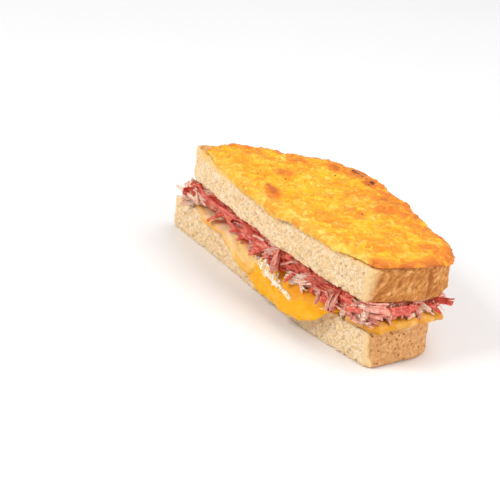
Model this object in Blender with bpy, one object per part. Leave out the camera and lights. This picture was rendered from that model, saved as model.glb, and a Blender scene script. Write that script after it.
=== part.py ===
"""Half of a toasted ham and cheese melt, cut straight through the loaf slice.

Two half slices of tin bread hold melted cheese slices and a heap of shredded ham, and
grated cheese is melted over the upper slice. Units are metres and +Z is up. +X runs along
the cut from the loaf's domed top to its base, and the cut face looks along -Y.
"""
import math
import random

import bmesh
import bpy
from mathutils import Matrix, Vector, noise
from mathutils.bvhtree import BVHTree

MM = 0.001

# Driving dimensions.
SLICE_THICKNESS = 14.0 * MM
LOWER_LENGTH = 134.0 * MM
LOWER_WIDTH = 43.0 * MM
LOWER_START = -13.0 * MM
UPPER_LENGTH = 120.0 * MM
UPPER_WIDTH = 52.0 * MM
UPPER_START = -3.0 * MM
UPPER_SEAT_AT_DOME = 26.8 * MM
UPPER_FALL_TO_BASE = math.radians(1.22)
UPPER_FALL_TO_BACK = math.radians(3.0)
LAYER_GAP = 0.35 * MM
PALE_CHEESE_THICKNESS = 2.6 * MM
THICK_CHEESE_THICKNESS = 3.4 * MM
BASE_CHEESE_THICKNESS = 4.2 * MM
TOPPING_THICKNESS = 1.7 * MM
LOWER_CUT_BOW = 3.2 * MM
UPPER_CUT_BOW = 5.0 * MM
HAM_STRAND_COUNT = 36
HAM_STRAND_KNOTS = 5
HAM_CLEARANCE = 0.55 * MM
RANDOM_SEED = 11


# Scene and materials.

def clear_scene():
    """Starts from an empty scene."""
    for obj in list(bpy.data.objects):
        bpy.data.objects.remove(obj, do_unlink=True)


def new_collection(name):
    collection = bpy.data.collections.new(name)
    bpy.context.scene.collection.children.link(collection)
    return collection


def food_material(name, color, roughness):
    """A plain Principled material in the food's own colour."""
    material = bpy.data.materials.new(name)
    material.use_nodes = True
    shader = material.node_tree.nodes["Principled BSDF"]
    shader.inputs["Base Color"].default_value = (*color, 1.0)
    shader.inputs["Roughness"].default_value = roughness
    shader.inputs["Metallic"].default_value = 0.0
    return material


def object_from_bmesh(name, bm, material, collection):
    """Puts a finished bmesh into a named, smooth-shaded object."""
    bmesh.ops.recalc_face_normals(bm, faces=bm.faces)
    if bm.calc_volume(signed=True) < 0.0:
        bmesh.ops.reverse_faces(bm, faces=bm.faces)
    mesh = bpy.data.meshes.new(name)
    bm.to_mesh(mesh)
    bm.free()
    mesh.materials.append(material)
    mesh.shade_smooth()
    mesh.set_sharp_from_angle(angle=math.radians(40))
    obj = bpy.data.objects.new(name, mesh)
    collection.objects.link(obj)
    return obj


# Small helpers for forms.

def smoothstep(low, high, value):
    t = min(1.0, max(0.0, (value - low) / (high - low)))
    return t * t * (3.0 - 2.0 * t)


def signed_power(value, power):
    return math.copysign(abs(value) ** power, value)


def grain(point, size, seed):
    """Smooth noise from -1 to 1 whose lumps are about size across."""
    return noise.noise(Vector(point) / size + Vector((seed, 2.3 * seed, 5.1 * seed)))


# The half slice: a straight cut edge, a bulged base, a flaring side and a domed top.

def half_slice_outline(length, width, base_width, base_bulge, corner, dome, spacing):
    """Evenly spaced points round a half slice, from the dome's tip along the cut edge."""
    dome_power = 1.4
    corner_power = 2.4
    arc_steps = 24
    points = [Vector((0.0, 0.0)), Vector((length, 0.0))]
    corner_start = base_width - corner
    for step in range(1, arc_steps):
        y = corner_start * step / arc_steps
        points.append(Vector((length + base_bulge * math.sin(math.pi * y / base_width), y)))
    reach = corner + base_bulge * math.sin(math.pi * corner_start / base_width)
    for step in range(arc_steps + 1):
        angle = math.pi / 2 * step / arc_steps
        points.append(Vector((
            length - corner + reach * math.cos(angle) ** (2 / corner_power),
            corner_start + corner * math.sin(angle) ** (2 / corner_power),
        )))
    side_length = length - corner - dome
    for step in range(1, arc_steps):
        along = step / arc_steps
        y = base_width + (width - base_width) * math.sin(along * math.pi / 2)
        points.append(Vector((length - corner - side_length * along, y)))
    for step in range(arc_steps):
        share = 1.0 - step / arc_steps
        rise = (1.0 - share ** dome_power) ** (1 / dome_power)
        points.append(Vector((dome * (1.0 - rise), width * share)))
    return resample(points, spacing)


def resample(points, spacing):
    """The closed line through points, as points a constant distance apart.

    Their number is a multiple of eight, so that round primitives have a vertex for each.
    """
    closed = points + points[:1]
    lengths = [(b - a).length for a, b in zip(closed, closed[1:])]
    count = 8 * round(sum(lengths) / spacing / 8)
    step = sum(lengths) / count
    placed = []
    edge = 0
    passed = 0.0
    for index in range(count):
        target = index * step
        while passed + lengths[edge] < target:
            passed += lengths[edge]
            edge += 1
        placed.append(closed[edge].lerp(closed[edge + 1], (target - passed) / lengths[edge]))
    return placed


def outward_normals(outline):
    """The outward direction at each point of a counter-clockwise outline."""
    count = len(outline)
    normals = []
    for index in range(count):
        along = outline[(index + 1) % count] - outline[index - 1]
        normals.append(Vector((along.y, -along.x)).normalized())
    return normals


def dented(outline, dents):
    """The outline pressed inwards at each (x, y, depth, spread) in millimetres."""
    pressed = []
    for point, normal in zip(outline, outward_normals(outline)):
        depth = 0.0
        for x, y, deepest, spread in dents:
            away = (point - Vector((x, y)) * MM).length / (spread * MM)
            depth += deepest * MM * math.exp(-away * away)
        pressed.append(point - normal * depth)
    return pressed


OUTLINE_SPACING = 3.3 * MM
LOWER_OUTLINE = [
    point + Vector((LOWER_START, 0.0))
    for point in half_slice_outline(
        LOWER_LENGTH, LOWER_WIDTH, base_width=33.0 * MM, base_bulge=2.0 * MM,
        corner=16.0 * MM, dome=46.0 * MM, spacing=OUTLINE_SPACING,
    )
]
UPPER_OUTLINE = dented(
    [
        point + Vector((UPPER_START, 0.0))
        for point in half_slice_outline(
            UPPER_LENGTH, UPPER_WIDTH, base_width=43.0 * MM, base_bulge=4.6 * MM,
            corner=19.5 * MM, dome=49.0 * MM, spacing=OUTLINE_SPACING,
        )
    ],
    ((-3.0, 1.5, 1.6, 3.5), (18.0, 31.0, 3.4, 5.5), (38.0, 50.0, -0.8, 5.0), (62.0, 52.0, 0.9, 6.0)),
)


def bread_slice(name, outline, seed, material, collection):
    """One half slice: a cylinder drawn out to the outline, with a craggy crust and crumb."""
    crust_edge = 1.3 * MM
    crumb_edge = 0.35 * MM
    crust_relief = 0.8 * MM
    crumb_relief = 0.22 * MM
    levels = (0.0, 0.08, 0.28, 0.5, 0.72, 0.92, 1.0)
    count = len(outline)
    normals = outward_normals(outline)
    bm = bmesh.new()
    bmesh.ops.create_cone(
        bm, cap_ends=True, segments=count, radius1=1.0, radius2=1.0, depth=1.0,
        matrix=Matrix.Translation((0.0, 0.0, 0.5)),
    )
    uprights = [e for e in bm.edges if abs(e.verts[0].co.z - e.verts[1].co.z) > 0.5]
    bmesh.ops.subdivide_edges(bm, edges=uprights, cuts=len(levels) - 2, use_grid_fill=True)
    for vert in bm.verts:
        index = round(math.atan2(vert.co.y, vert.co.x) / (2 * math.pi) * count) % count
        level = levels[round(vert.co.z * (len(levels) - 1))]
        point, normal = outline[index], normals[index]
        on_cut = point.y < 0.5 * MM
        rim = abs(level - 0.5) > 0.49
        inset = (crumb_edge if on_cut else crust_edge) if rim else 0.0
        place = Vector((point.x, point.y, level * SLICE_THICKNESS))
        if on_cut:
            lift = crumb_relief * grain(place, 4.0 * MM, seed)
        else:
            lift = crust_relief * (grain(place, 7.0 * MM, seed) + 0.6 * grain(place, 3.0 * MM, seed))
        flat = point + normal * (lift - inset)
        vert.co = Vector((flat.x, flat.y, place.z))
    return object_from_bmesh(name, bm, material, collection)


# The melted cheese slices between the breads.

def beyond_outline(outline, point):
    """(distance outside, nearest edge point, outward direction) of a flat point."""
    best = None
    count = len(outline)
    for index in range(count):
        a = outline[index]
        along = outline[(index + 1) % count] - a
        share = min(1.0, max(0.0, (point - a).dot(along) / along.length_squared))
        near = a + along * share
        distance = (point - near).length
        if best is None or distance < best[0]:
            best = (distance, near, Vector((along.y, -along.x)).normalized())
    distance, near, outward = best
    if (point - near).dot(outward) <= 0.0:
        return -distance, near, outward
    return distance, near, (point - near) / distance


def drape(outline, spot, bend, middle, half):
    """Where a point of a sheet lies once the sheet bends down over the outline's edge."""
    straight = 0.6 * MM
    outside, near, outward = beyond_outline(outline, spot)
    arc = max(0.0, outside - straight)
    angle = min(math.pi / 2, arc / bend)
    fall = bend * (1.0 - math.cos(angle)) + max(0.0, arc - bend * math.pi / 2)
    base = near + outward * straight if arc > 0.0 else spot
    out = (bend + half) * math.sin(angle)
    return Vector((
        base.x + outward.x * out, base.y + outward.y * out, middle - fall + half * math.cos(angle),
    ))


def cheese_slab(name, centre, half_size, thickness, front_reach, lift, seed, material, collection):
    """A melted slice: a flattened sphere with a wavy edge that hangs over the bread."""
    segments = 40
    rings = 14
    edge_roundness = 0.6
    corner_squareness = 0.43
    edge_wave = 1.6 * MM
    lip_swelling = 0.5
    bend = thickness / 2 + 1.5 * MM
    middle = SLICE_THICKNESS + LAYER_GAP + thickness / 2
    bm = bmesh.new()
    bmesh.ops.create_uvsphere(bm, u_segments=segments, v_segments=rings, radius=1.0)
    for vert in bm.verts:
        flat = Vector((vert.co.x, vert.co.y))
        radius = min(1.0, flat.length) ** edge_roundness
        around = flat.normalized() if flat.length > 1e-6 else Vector((1.0, 0.0))
        height = signed_power(vert.co.z, edge_roundness)
        square = Vector((
            signed_power(around.x, corner_squareness), signed_power(around.y, corner_squareness),
        ))
        wave = edge_wave * grain((around.x, around.y, 0.0), 0.45, seed) * radius
        spot = centre + Vector((
            radius * half_size[0] * square.x, radius * half_size[1] * square.y,
        )) + around * wave
        if square.y < 0.0:
            spot.y += square.y * radius * front_reach(spot.x)
        outside = beyond_outline(LOWER_OUTLINE, spot)[0]
        swelling = lip_swelling * smoothstep(2.0 * MM, 9.0 * MM, outside)
        half = (height + (1.0 + height) * swelling) * thickness / 2
        vert.co = drape(LOWER_OUTLINE, spot, bend, middle + lift(spot.x), half)
    return object_from_bmesh(name, bm, material, collection)


PALE_CHEESE_START = -5.0 * MM
THICK_CHEESE_START = 47.0 * MM
PALE_CHEESE_END = 61.0 * MM
THICK_CHEESE_STEP_END = 68.5 * MM
THICK_CHEESE_END = 106.0 * MM
OVERLAP_LIFT = PALE_CHEESE_THICKNESS + LAYER_GAP


def no_lift(x):
    return 0.0


def lift_over_pale_cheese(x):
    """The thick slice lies on the pale one's end, then steps down to the bread."""
    return OVERLAP_LIFT * (1.0 - smoothstep(PALE_CHEESE_END + 1.0 * MM, THICK_CHEESE_STEP_END, x))


def bump(x, centre, spread):
    return math.exp(-(((x - centre) / spread) ** 2))


def pale_cheese_reach(x):
    """How far the pale slice hangs past the cut: two lobes."""
    return 1.5 * MM * bump(x, 16.0 * MM, 8.0 * MM) + 9.0 * MM * bump(x, 52.0 * MM, 13.0 * MM)


def thick_cheese_reach(x):
    """The thick slice's one deep, broad lip."""
    lip = smoothstep(57.0 * MM, 80.0 * MM, x) * (1.0 - smoothstep(83.0 * MM, 112.0 * MM, x))
    return 3.0 * MM + 9.2 * MM * lip


def base_cheese_reach(x):
    return 1.5 * MM * bump(x, 108.0 * MM, 8.0 * MM)


def build_cheese_slices(collection):
    pale = food_material("pale_melted_cheese", (0.86, 0.62, 0.24), 0.3)
    deep = food_material("deep_melted_cheese", (0.87, 0.45, 0.05), 0.25)
    amber = food_material("amber_melted_cheese", (0.82, 0.47, 0.12), 0.28)
    cheese_slab(
        "cheese_slice_pale", Vector((28.5, 18.0)) * MM, (32.0 * MM, 20.0 * MM),
        PALE_CHEESE_THICKNESS, pale_cheese_reach, no_lift, 3.0, pale, collection,
    )
    cheese_slab(
        "cheese_slice_thick", Vector((77.3, 18.5)) * MM, (28.6 * MM, 20.5 * MM),
        THICK_CHEESE_THICKNESS, thick_cheese_reach, lift_over_pale_cheese, 7.0, deep, collection,
    )
    cheese_slab(
        "cheese_slice_base", Vector((116.4, 15.5)) * MM, (8.8 * MM, 17.5 * MM),
        BASE_CHEESE_THICKNESS, base_cheese_reach, no_lift, 5.0, amber, collection,
    )


# The shredded ham: a core with strands fused to every side of it.

def cheese_top(x):
    """The highest cheese surface at this distance along the cut."""
    bread_top = SLICE_THICKNESS + LAYER_GAP
    if x < PALE_CHEESE_START:
        return bread_top
    if x < THICK_CHEESE_START:
        return bread_top + PALE_CHEESE_THICKNESS
    if x < THICK_CHEESE_END:
        return bread_top + THICK_CHEESE_THICKNESS + lift_over_pale_cheese(x)
    return bread_top + BASE_CHEESE_THICKNESS


def upper_bread_underside(x, y):
    return (
        UPPER_SEAT_AT_DOME
        - x * math.tan(UPPER_FALL_TO_BASE)
        - y * math.tan(UPPER_FALL_TO_BACK)
    )


def ham_room(point, window):
    """(lowest, highest) the ham may reach here."""
    low = max(cheese_top(point.x + window * step / 4) for step in range(-4, 5))
    return low + HAM_CLEARANCE, upper_bread_underside(point.x, point.y) - HAM_CLEARANCE


def ham_core_outline():
    """The heap's edge, a little inside the lower bread's and drawn back at the dome."""
    centre = Vector((57.0, 18.0)) * MM
    drawn_back = 12.0 * MM
    outline = []
    for point in LOWER_OUTLINE[::2]:
        inner = centre + (point - centre) * 0.94
        inner.x += 0.4 * max(0.0, drawn_back - inner.x)
        outline.append(inner)
    return outline


def ham_core(outline, material, collection):
    """A flattened sphere that fills the space between the cheese and the upper bread."""
    rings = 8
    edge_roundness = 0.4
    count = len(outline)
    centre = sum(outline, Vector((0.0, 0.0))) / count
    bm = bmesh.new()
    bmesh.ops.create_uvsphere(bm, u_segments=count, v_segments=rings, radius=1.0)
    for vert in bm.verts:
        flat = Vector((vert.co.x, vert.co.y))
        index = round(math.atan2(flat.y, flat.x) / (2 * math.pi) * count) % count
        radius = min(1.0, flat.length) ** edge_roundness
        spot = centre + (outline[index] - centre) * radius
        low, high = ham_room(spot, 15.0 * MM)
        share = 0.5 + 0.5 * signed_power(vert.co.z, edge_roundness)
        vert.co = Vector((spot.x, spot.y, low + (high - low) * share))
    return object_from_bmesh("ham", bm, material, collection)


def swept_strand(points, widths, tilts, width, thickness):
    """One flat strand of meat: a curve with a flat bevel, turned into a mesh."""
    curve = bpy.data.curves.new("ham_strand", "CURVE")
    curve.dimensions = "3D"
    curve.fill_mode = "FULL"
    curve.extrude = (width - thickness) / 2
    curve.bevel_depth = thickness / 2
    curve.bevel_resolution = 0
    curve.use_fill_caps = True
    spline = curve.splines.new("POLY")
    spline.points.add(len(points) - 1)
    for knot, point, share, tilt in zip(spline.points, points, widths, tilts):
        knot.co = (*point, 1.0)
        knot.radius = share
        knot.tilt = tilt
    sweep = bpy.data.objects.new("ham_strand_sweep", curve)
    bpy.context.scene.collection.objects.link(sweep)
    bpy.context.view_layer.update()
    evaluated = sweep.evaluated_get(bpy.context.evaluated_depsgraph_get())
    mesh = bpy.data.meshes.new_from_object(evaluated)
    bpy.data.objects.remove(sweep, do_unlink=True)
    bm = bmesh.new()
    bm.from_mesh(mesh)
    bmesh.ops.remove_doubles(bm, verts=bm.verts, dist=0.01 * MM)
    bmesh.ops.recalc_face_normals(bm, faces=bm.faces)
    bm.to_mesh(mesh)
    bm.free()
    return bpy.data.objects.new("ham_strand", mesh)


def lying_strand(draw, start, outward):
    """Points of a strand that runs along the heap's side, and its flat side's lean."""
    along = Vector((-outward.y, outward.x)) * draw.choice((-1.0, 1.0))
    length = draw.uniform(14.0, 26.0) * MM
    bow = draw.uniform(0.5, 3.0) * MM
    depth = draw.uniform(-1.2, 0.4) * MM
    level = draw.uniform(0.15, 0.85)
    slope = draw.uniform(-0.7, 0.7)
    points = []
    for knot in range(HAM_STRAND_KNOTS):
        t = knot / (HAM_STRAND_KNOTS - 1) - 0.5
        flat = start + along * length * t + outward * (depth + bow * (0.25 - t * t) * 4.0)
        low, high = ham_room(flat, 3.0 * MM)
        share = min(1.0, max(0.0, level + slope * t))
        points.append(Vector((flat.x, flat.y, low + (high - low) * share)))
    return points, draw.uniform(-0.4, 0.4)


def poking_strand(draw, start, outward, reach):
    """Points of a strand that sticks out of the heap and droops, and its lean."""
    along = Vector((-outward.y, outward.x))
    heading = (outward + along * draw.uniform(-1.1, 1.1)).normalized()
    origin = start - heading * 5.0 * MM
    level = draw.uniform(0.25, 0.9)
    droop = draw.uniform(0.0, 4.5) * MM
    curl = draw.uniform(-2.5, 2.5) * MM
    points = []
    for knot in range(HAM_STRAND_KNOTS):
        t = knot / (HAM_STRAND_KNOTS - 1)
        flat = origin + heading * (5.0 * MM + reach) * t + along * curl * t * t
        low, high = ham_room(start, 3.0 * MM)
        points.append(Vector((flat.x, flat.y, low + (high - low) * level - droop * t * t)))
    return points, draw.uniform(0.9, 2.2)


def room_round(point, obstacles):
    """(gap to the nearest obstacle, less than nothing inside it; the way straight off it)."""
    near, normal = obstacles.find_nearest(point)[:2]
    away = point - near
    if away.dot(normal) < 0.0 or away.length < 1e-7:
        return -away.length, normal
    return away.length, away.normalized()


def push_clear(points, obstacles, half_width, half_height):
    """Moves points away from the bread and cheese until the strand clears them."""
    samples = [(k, k + 1, t) for k in range(len(points) - 1) for t in (0.0, 0.33, 0.67, 1.0)]
    for pass_number in range(10):
        for first, second, t in samples:
            point = points[first].lerp(points[second], t)
            gap, direction = room_round(point, obstacles)
            flatness = math.hypot(direction.x, direction.y)
            need = HAM_CLEARANCE + half_height * abs(direction.z) + half_width * flatness
            if gap < need:
                push = direction * min(need - gap, 0.5 * MM)
                points[first] = points[first] + push * (1.0 - t)
                points[second] = points[second] + push * t
    return all(room_round(point, obstacles)[0] > half_height for point in points)


# Where the photo shows meat standing well out: (x, y, how far).
HAM_TUFTS = (
    (120.0, 31.0, 8.0), (121.0, 27.0, 7.0), (120.0, 18.0, 4.5), (118.0, 4.0, 3.5),
    (101.0, -2.0, 7.0), (80.0, -2.0, 7.0), (62.0, -2.0, 8.0), (57.0, -2.0, 6.0),
    (41.0, -2.0, 6.0), (22.0, -2.0, 6.0), (3.0, -2.0, 3.0),
)


def ham_strands(outline, obstacles, strands):
    """Fills a collection with strands placed round the core."""
    draw = random.Random(RANDOM_SEED)
    normals = outward_normals(outline)
    count = len(outline)
    plans = []
    for number in range(HAM_STRAND_COUNT):
        index = round(number * count / HAM_STRAND_COUNT + draw.uniform(-0.6, 0.6)) % count
        plans.append((index, draw.uniform(2.0, 5.5) * MM if number % 3 == 0 else None))
    for x, y, reach in HAM_TUFTS:
        spot = Vector((x, y)) * MM
        index = min(range(count), key=lambda i: (outline[i] - spot).length)
        plans.append((index, reach * MM))
    for index, reach in plans:
        start, outward = outline[index], normals[index]
        width = draw.uniform(3.0, 5.2) * MM
        thickness = draw.uniform(1.2, 1.8) * MM
        if reach is None:
            points, lean = lying_strand(draw, start, outward)
            half_width, half_height = thickness / 2, width / 2
        else:
            points, lean = poking_strand(draw, start, outward, reach)
            half_width, half_height = width / 2, thickness / 2 + 0.3 * MM
        if not push_clear(points, obstacles, half_width, half_height):
            continue
        last = HAM_STRAND_KNOTS - 1
        widths = [0.55 + 0.45 * math.sin(math.pi * (0.12 + 0.76 * k / last)) for k in range(last + 1)]
        tilts = [lean + draw.uniform(-0.25, 0.25) for k in range(last + 1)]
        strands.objects.link(swept_strand(points, widths, tilts, width, thickness))


def obstacle_tree(parts):
    """The bread and cheese as one tree that nearest points are looked up in."""
    bpy.context.view_layer.update()
    verts = []
    faces = []
    for obj in parts.objects:
        if obj.type != "MESH":
            continue
        start = len(verts)
        verts.extend(obj.matrix_world @ v.co for v in obj.data.vertices)
        faces.extend([start + i for i in face.vertices] for face in obj.data.polygons)
    return BVHTree.FromPolygons(verts, faces)


def build_ham(obstacles, material, parts):
    """Fuses the strands to the core with one Boolean union on their collection."""
    outline = ham_core_outline()
    core = ham_core(outline, material, parts)
    strands = new_collection("ham_strands")
    ham_strands(outline, obstacles, strands)
    union = core.modifiers.new("fuse_strands", "BOOLEAN")
    union.operation = "UNION"
    union.operand_type = "COLLECTION"
    union.collection = strands
    union.solver = "MANIFOLD"
    bpy.context.view_layer.update()
    evaluated = core.evaluated_get(bpy.context.evaluated_depsgraph_get())
    fused = bpy.data.meshes.new_from_object(evaluated)
    core.modifiers.clear()
    core.data = fused
    fused.materials.clear()
    fused.materials.append(material)
    for strand in list(strands.objects):
        bpy.data.objects.remove(strand, do_unlink=True)
    bpy.data.collections.remove(strands)
    keep_outer_body(fused)
    ease_off(fused, obstacles)


def ease_off(mesh, obstacles):
    """Moves what still lies too near the bread or cheese straight off it."""
    least = 0.45 * MM
    for pass_number in range(12):
        for vert in mesh.vertices:
            gap, direction = room_round(vert.co, obstacles)
            if gap < least:
                vert.co += direction * (least - gap)
        for face in mesh.polygons:
            gap, direction = room_round(face.center, obstacles)
            if gap < least:
                for index in face.vertices:
                    mesh.vertices[index].co += direction * (least - gap)


def keep_outer_body(mesh):
    """Fills any sealed hollow and drops any loose scrap that fusing left."""
    bm = bmesh.new()
    bm.from_mesh(mesh)
    bmesh.ops.dissolve_limit(bm, angle_limit=math.radians(1.0), verts=bm.verts, edges=bm.edges)
    left = set(bm.faces)
    bodies = []
    while left:
        reached = {left.pop()}
        front = list(reached)
        while front:
            near = {f for face in front for edge in face.edges for f in edge.link_faces} - reached
            reached |= near
            front = list(near)
        left -= reached
        bodies.append(reached)
    bodies.sort(key=len)
    for body in bodies[:-1]:
        bmesh.ops.delete(bm, geom=list(body), context="FACES")
    bmesh.ops.triangulate(bm, faces=bm.faces)
    bm.to_mesh(mesh)
    bm.free()
    mesh.shade_smooth()
    mesh.set_sharp_from_angle(angle=math.radians(40))


# The grated cheese melted over the upper slice.

TOPPING_DRIPS = ((118.0, 30.0, 4.6, 5.0), (121.0, 20.0, 1.8, 5.0), (64.0, 0.0, 1.6, 6.0))
TOPPING_LIP = 4.0 * MM
BARE_TIP = 9.0 * MM


def topping_reach(edge):
    """How far the melted cheese comes past the bread's edge here: a lip along the cut."""
    reach = -0.4 * MM + 1.2 * MM * grain((edge.x, edge.y, 0.0), 10.0 * MM, 4.0)
    if edge.y < 0.5 * MM:
        along = smoothstep(12.0 * MM, 40.0 * MM, edge.x)
        reach += TOPPING_LIP * along * (1.0 - smoothstep(92.0 * MM, 114.0 * MM, edge.x))
    for x, y, length, spread in TOPPING_DRIPS:
        away = (edge - Vector((x, y)) * MM).length / (spread * MM)
        reach += length * MM * math.exp(-away * away)
    return reach


def topping_rim():
    """The melted cheese's edge, drawn back so that the bread's tip is bare."""
    spread = 10.0 * MM
    rim = []
    for edge, normal in zip(UPPER_OUTLINE, outward_normals(UPPER_OUTLINE)):
        away = math.hypot(edge.x - UPPER_START, edge.y) / spread
        bare = Vector((BARE_TIP * math.exp(-away * away), 0.0))
        rim.append(edge + normal * topping_reach(edge) + bare)
    return rim


def cheese_topping(material, collection):
    """A lumpy melted sheet: a disc drawn to the slice, cut into a net, thickened, draped."""
    net = 4.3 * MM
    lip_lines = (-0.6 * MM, -1.5 * MM, -2.5 * MM)
    rim = topping_rim()
    count = len(rim)
    bm = bmesh.new()
    bmesh.ops.create_circle(bm, cap_ends=True, segments=count, radius=1.0)
    for vert in bm.verts:
        index = round(math.atan2(vert.co.y, vert.co.x) / (2 * math.pi) * count) % count
        vert.co = (rim[index].x, rim[index].y, 0.0)
    along_lines = [net * step for step in range(1, round((UPPER_LENGTH + 8.0 * MM) / net))]
    deep_lines = [net * step for step in range(1, round(UPPER_WIDTH / net))]
    for axis, lines in ((0, along_lines), (1, deep_lines), (1, lip_lines)):
        across = Vector((0.0, 0.0, 0.0))
        across[axis] = 1.0
        for line in lines:
            bmesh.ops.bisect_plane(
                bm, geom=bm.verts[:] + bm.edges[:] + bm.faces[:], dist=0.2 * MM,
                plane_co=across * line, plane_no=across,
            )
    bottom = list(bm.verts)
    extruded = bmesh.ops.extrude_face_region(bm, geom=bm.faces[:])["geom"]
    top = {v for v in extruded if isinstance(v, bmesh.types.BMVert)}
    half = TOPPING_THICKNESS / 2
    crust_bend = half + 1.3 * MM
    lip_bend = half + 0.6 * MM
    middle = SLICE_THICKNESS + LAYER_GAP + half
    for vert in bottom + list(top):
        spot = Vector((vert.co.x, vert.co.y))
        bend = lip_bend if spot.y < 0.0 else crust_bend
        place = Vector((spot.x, spot.y, 0.0))
        side = -half
        if vert in top:
            inward = max(0.0, -beyond_outline(rim, spot)[0])
            lumps = 1.0 * grain(place, 9.0 * MM, 9.0) + 0.6 * grain(place, 4.5 * MM, 2.0)
            side = half + lumps * 0.8 * MM * smoothstep(0.0, 4.0 * MM, inward)
            side -= 0.8 * half * (1.0 - smoothstep(0.0, 2.2 * MM, inward))
        vert.co = drape(UPPER_OUTLINE, spot, bend, middle, side)
    return object_from_bmesh("cheese_topping", bm, material, collection)


# The finished whole.

def cut_bow(place):
    """How far the knife's wandering cut bows out here, most near the cut's middle."""
    height = min(1.0, max(0.0, place.z / (UPPER_SEAT_AT_DOME + SLICE_THICKNESS)))
    along = min(1.0, max(0.0, (place.x - UPPER_START) / (UPPER_LENGTH + 1.0 * MM)))
    amount = LOWER_CUT_BOW + (UPPER_CUT_BOW - LOWER_CUT_BOW) * height
    lean = 1.7 - 0.9 * height
    depth = 1.0 - smoothstep(0.0, 26.0 * MM, place.y)
    return amount * math.sin(math.pi * along ** lean) * depth


def bow_cut(parts):
    """Bows every piece out along the cut by the same rule, so that their gaps stay."""
    for obj in parts.objects:
        if obj.type != "MESH":
            continue
        seat = obj.parent.location.z if obj.parent else 0.0
        for vert in obj.data.vertices:
            vert.co.y -= cut_bow(vert.co + Vector((0.0, 0.0, seat)))


def stand_on_origin(parts):
    """Moves the whole so that its box's bottom centre is the origin."""
    bpy.context.view_layer.update()
    graph = bpy.context.evaluated_depsgraph_get()
    low = Vector((math.inf,) * 3)
    high = -low
    for obj in parts.objects:
        if obj.type != "MESH":
            continue
        seen = obj.evaluated_get(graph)
        for vert in seen.data.vertices:
            point = seen.matrix_world @ vert.co
            low = Vector(map(min, low, point))
            high = Vector(map(max, high, point))
    shift = Vector(((low.x + high.x) / 2, (low.y + high.y) / 2, low.z))
    for obj in parts.objects:
        if obj.parent is None:
            obj.location -= shift


def main():
    clear_scene()
    parts = new_collection("ham_and_cheese_melt")
    bread = food_material("toasted_bread", (0.78, 0.52, 0.26), 0.8)
    pink = food_material("shredded_ham", (0.72, 0.26, 0.24), 0.45)
    golden = food_material("golden_cheese", (0.88, 0.5, 0.1), 0.4)
    bread_slice("bread_bottom", LOWER_OUTLINE, 1.0, bread, parts)
    build_cheese_slices(parts)
    seat = bpy.data.objects.new("upper_slice_seat", None)
    seat.location = (0.0, 0.0, UPPER_SEAT_AT_DOME)
    seat.rotation_euler = (-UPPER_FALL_TO_BACK, UPPER_FALL_TO_BASE, 0.0)
    parts.objects.link(seat)
    bread_slice("bread_top", UPPER_OUTLINE, 2.0, bread, parts).parent = seat
    build_ham(obstacle_tree(parts), pink, parts)
    cheese_topping(golden, parts).parent = seat
    bow_cut(parts)
    stand_on_origin(parts)


main()
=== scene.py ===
import math
import random

import bpy
import numpy as np
from mathutils import Matrix, Vector, noise
from mathutils.bvhtree import BVHTree


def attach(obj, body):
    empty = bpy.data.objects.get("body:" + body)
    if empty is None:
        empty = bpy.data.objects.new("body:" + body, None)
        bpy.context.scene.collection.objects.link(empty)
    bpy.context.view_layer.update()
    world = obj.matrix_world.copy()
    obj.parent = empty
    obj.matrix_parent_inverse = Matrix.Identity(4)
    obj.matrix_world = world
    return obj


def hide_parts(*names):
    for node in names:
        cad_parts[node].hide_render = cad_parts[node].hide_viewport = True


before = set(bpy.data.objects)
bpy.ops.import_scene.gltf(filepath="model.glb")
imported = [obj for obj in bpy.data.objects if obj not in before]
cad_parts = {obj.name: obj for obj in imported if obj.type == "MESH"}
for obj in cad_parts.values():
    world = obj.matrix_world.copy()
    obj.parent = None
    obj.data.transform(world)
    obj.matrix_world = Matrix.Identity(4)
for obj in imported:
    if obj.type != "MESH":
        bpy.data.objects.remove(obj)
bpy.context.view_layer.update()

MM = 0.001
# Blender's vector noise starts from the clock unless it gets a seed.
NOISE_SEED = 7
noise.seed_set(NOISE_SEED)

# Lower slice of bread.
# A thick half slice of white tin bread, cut clean through on one side, with a golden crust
# round the others. It is copied from its solid, and its crumb and crust are worked in.

# Where the upper slice's domed tip stands over the floor. Places given in millimetres are
# measured from it: x along the cut to the loaf's base, y into the bread, z up.
TIP = Vector((-56.574, -20.673, 0.0)) * MM


def spot(x, y, z=0.0):
    return TIP + Vector((x, y, z)) * MM


def ease(low, high, value):
    t = min(1.0, max(0.0, (value - low) / (high - low)))
    return t * t * (3.0 - 2.0 * t)


def bring_in(piece):
    """Puts a new piece into the scene, alone selected and active."""
    bpy.ops.object.select_all(action="DESELECT")
    bpy.context.collection.objects.link(piece)
    piece.select_set(True)
    bpy.context.view_layer.objects.active = piece


def merge_corners(reach, mend_facings=False):
    """Makes one corner of those that lie together in the active piece."""
    bpy.ops.object.mode_set(mode="EDIT")
    bpy.ops.mesh.select_all(action="SELECT")
    bpy.ops.mesh.remove_doubles(threshold=reach)
    if mend_facings:
        bpy.ops.mesh.normals_make_consistent(inside=False)
    bpy.ops.object.mode_set(mode="OBJECT")


def copy_solid(node, name):
    """A merged copy of a solid, alone selected and active."""
    piece = bpy.data.objects.new(name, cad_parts[node].data.copy())
    piece.data.name = name
    piece.data.materials.clear()
    bring_in(piece)
    merge_corners(0.01 * MM)
    return piece


def shape_with(piece, kind, **settings):
    modifier = piece.modifiers.new(kind, kind)
    for key, value in settings.items():
        setattr(modifier, key, value)
    bpy.ops.object.modifier_apply(modifier=modifier.name)


def remeshed(node, name, voxel, smoothing):
    """A copy of a solid in small even faces, with its corners softened."""
    piece = copy_solid(node, name)
    shape_with(piece, "REMESH", mode="VOXEL", voxel_size=voxel, use_smooth_shade=True)
    if smoothing:
        shape_with(piece, "SMOOTH", factor=0.5, iterations=smoothing)
    return piece


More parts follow.
